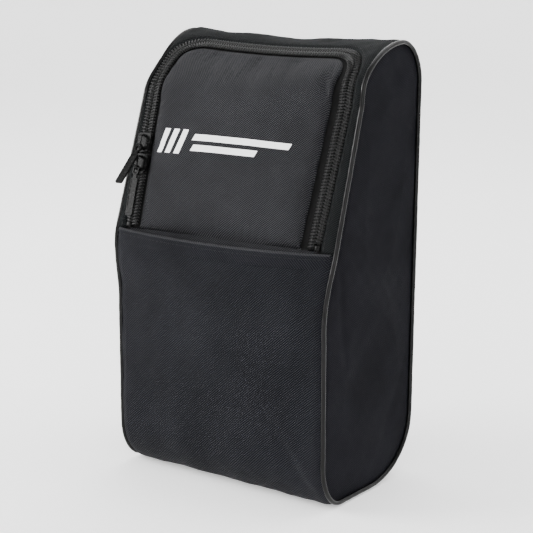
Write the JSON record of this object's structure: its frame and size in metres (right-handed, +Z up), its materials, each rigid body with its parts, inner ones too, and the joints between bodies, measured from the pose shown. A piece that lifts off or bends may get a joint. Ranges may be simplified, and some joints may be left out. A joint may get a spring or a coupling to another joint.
{
  "type": "golf shoe bag",
  "caption": "Upright fabric shoe bag with flat piped sides, a leaning padded zip door above a front slip pocket, and a webbing handle behind.",
  "frame": {"origin": "on the floor plane, on the flat of the base, in the middle of the width and of the depth of the side outline", "axes": "+Z up; the front, with the pocket and the zip door, faces -Y; +X is the right-hand side as seen from the front"},
  "size_m": [0.2046, 0.1704, 0.3479],
  "materials": {
    "pocket_twill": "matt twill-weave polyester",
    "flap_cloth": "matt plain-weave polyester, padded",
    "side_cloth": "smooth matt polyester",
    "inner_cloth": "coated inner face",
    "foam": "open-cell foam",
    "piping_vinyl": "satin vinyl piping",
    "zip_tape": "woven zip tape",
    "nylon_coil": "satin nylon",
    "black_metal": "gloss black die cast",
    "binding_tape": "ribbed tape",
    "board": "matt sheet",
    "webbing": "woven webbing"
  },
  "bodies": {
    "root": {"pocket_panel": "pocket_twill", "front_panel": "inner_cloth", "pocket_hem_binding": "binding_tape", "surround_panel": "pocket_twill", "back_panel": "pocket_twill", "base_panel": "side_cloth", "left_gusset": "side_cloth", "right_gusset": "side_cloth", "left_piping": "piping_vinyl", "right_piping": "piping_vinyl", "left_seam_binding": "binding_tape", "right_seam_binding": "binding_tape", "base_board": "board", "carry_handle": "webbing", "zip_tape_outer": "zip_tape", "zip_coil_outer": "nylon_coil", "left_zip_stop": "black_metal", "right_zip_stop": "black_metal"},
    "flap": {"flap_panel": "flap_cloth", "flap_foam": "foam", "flap_lining": "inner_cloth", "zip_tape_inner": "zip_tape", "zip_coil_inner": "nylon_coil"},
    "lower_slider": {"lower_slider": "black_metal", "lower_slider_bridge": "black_metal"},
    "upper_slider": {"upper_slider": "black_metal", "upper_slider_bridge": "black_metal"},
    "lower_pull": {"lower_pull": "black_metal"},
    "upper_pull": {"upper_pull": "black_metal"}
  },
  "joints": [
    {"name": "flap_open", "type": "hinge", "parent": "root", "child": "flap", "pos_m": [0, -0.06455, 0.20023], "axis": [0.999, 0.0446, 0], "range_deg": [0, 155]},
    {"name": "lower_slider_travel", "type": "slide", "parent": "flap", "child": "lower_slider", "axis": [-0.044, 0.3382, 0.94], "range_m": [-0.038, 0]},
    {"name": "upper_slider_travel", "type": "slide", "parent": "flap", "child": "upper_slider", "axis": [-0.044, 0.3382, 0.94], "range_m": [0, 0.034]},
    {"name": "lower_pull_swing", "type": "hinge", "parent": "lower_slider", "child": "lower_pull", "pos_m": [-0.08796, -0.05189, 0.24517], "axis": [0.9985, 0.0445, 0.0308], "range_deg": [-36, 0]},
    {"name": "upper_pull_swing", "type": "hinge", "parent": "upper_slider", "child": "upper_pull", "pos_m": [-0.08874, -0.04613, 0.26117], "axis": [0.9985, 0.0445, 0.0308], "range_deg": [-105, 0]}
  ]
}
